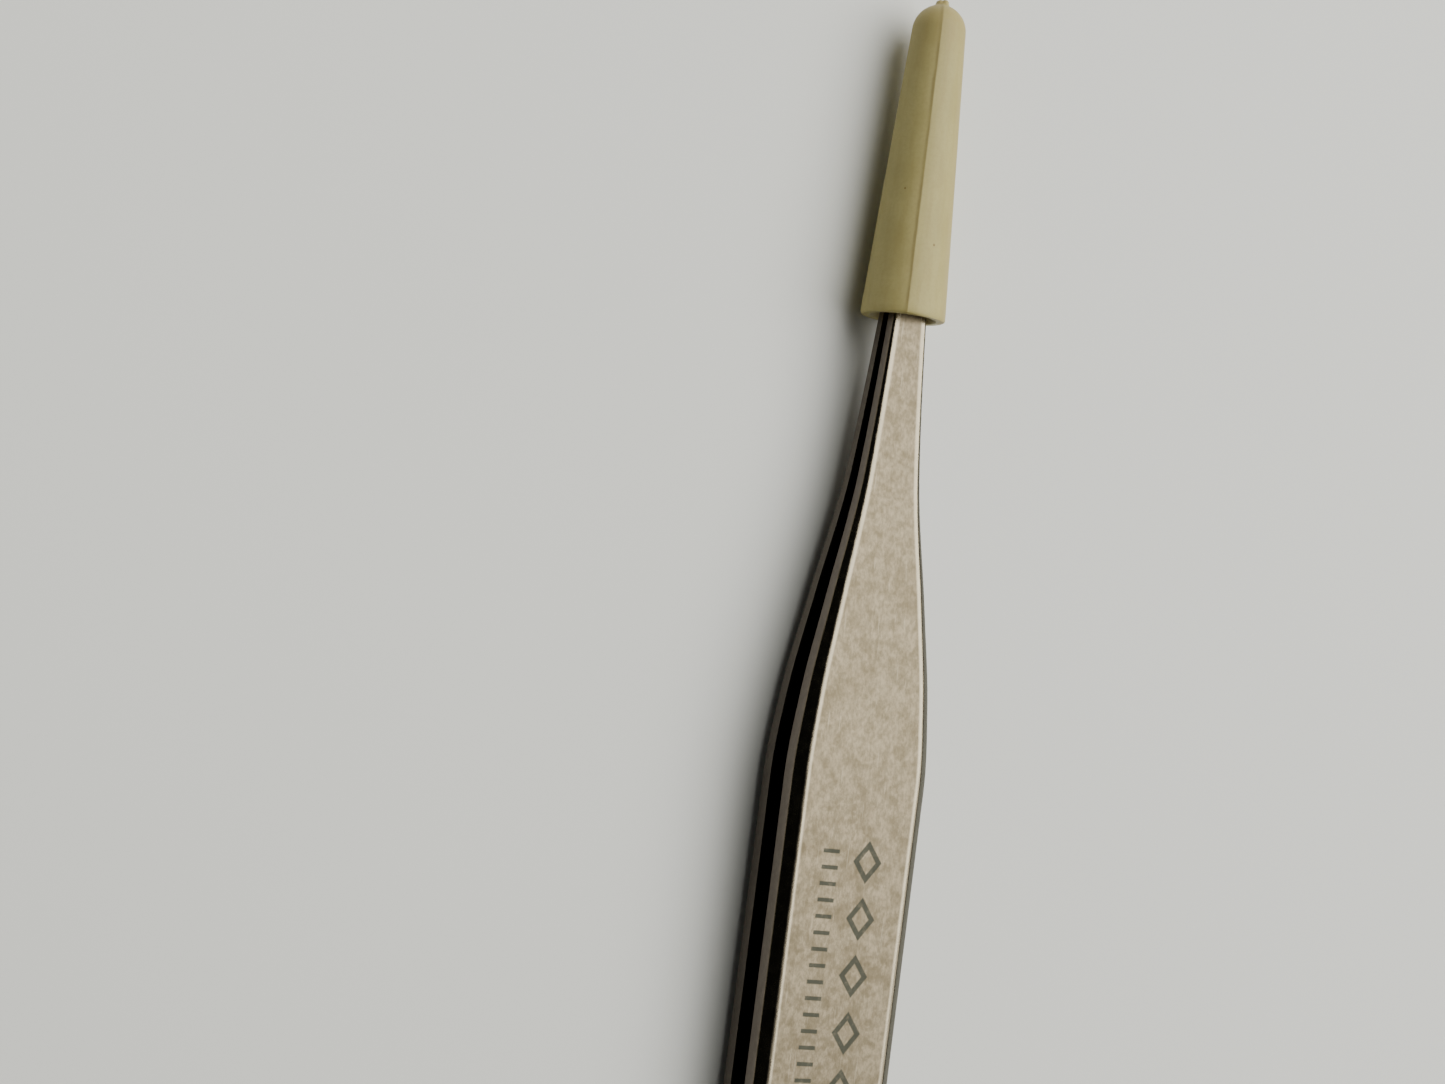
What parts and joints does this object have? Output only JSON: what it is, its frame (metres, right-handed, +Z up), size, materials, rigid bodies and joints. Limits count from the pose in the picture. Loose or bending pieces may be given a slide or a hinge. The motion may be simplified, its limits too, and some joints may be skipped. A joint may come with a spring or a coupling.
{
  "type": "tweezers",
  "caption": "Slim steel tweezers for watch work, closed and held by a tapered ivory plastic cap over the tips",
  "frame": {"origin": "middle of the whole part in X and Y, at the height of its lowest point, which is the tip cap's rim", "axes": "+Y from the heel to the tips, +Z up out of the upper leaf, +X across the leaves"},
  "size_m": [0.0094, 0.1294, 0.0054],
  "materials": {
    "satin_steel": "satin, fine mottled grain",
    "spacer_steel": "darker, ground edges",
    "ivory_plastic": "aged ivory, moulded, soft sheen"
  },
  "bodies": {
    "base": {"lower_leaf": "satin_steel", "heel_spacer": "spacer_steel", "upper_leaf_heel": "satin_steel"},
    "blade": {"upper_leaf_blade": "satin_steel"},
    "cap": {"tip_cap": "ivory_plastic"}
  },
  "joints": [
    {"name": "cap_pull", "type": "slide", "parent": "base", "child": "cap", "axis": [0, 1, 0], "range_m": [0, 0.08]},
    {"name": "blade_flex", "type": "hinge", "parent": "base", "child": "blade", "pos_m": [0, -0.05267, 0.00511], "axis": [1, 0, 0], "range_deg": [0, 2.8]}
  ],
  "couplings": [
    {"joint": "blade_flex", "follows": "cap_pull", "rad_per_m": 0.6}
  ]
}
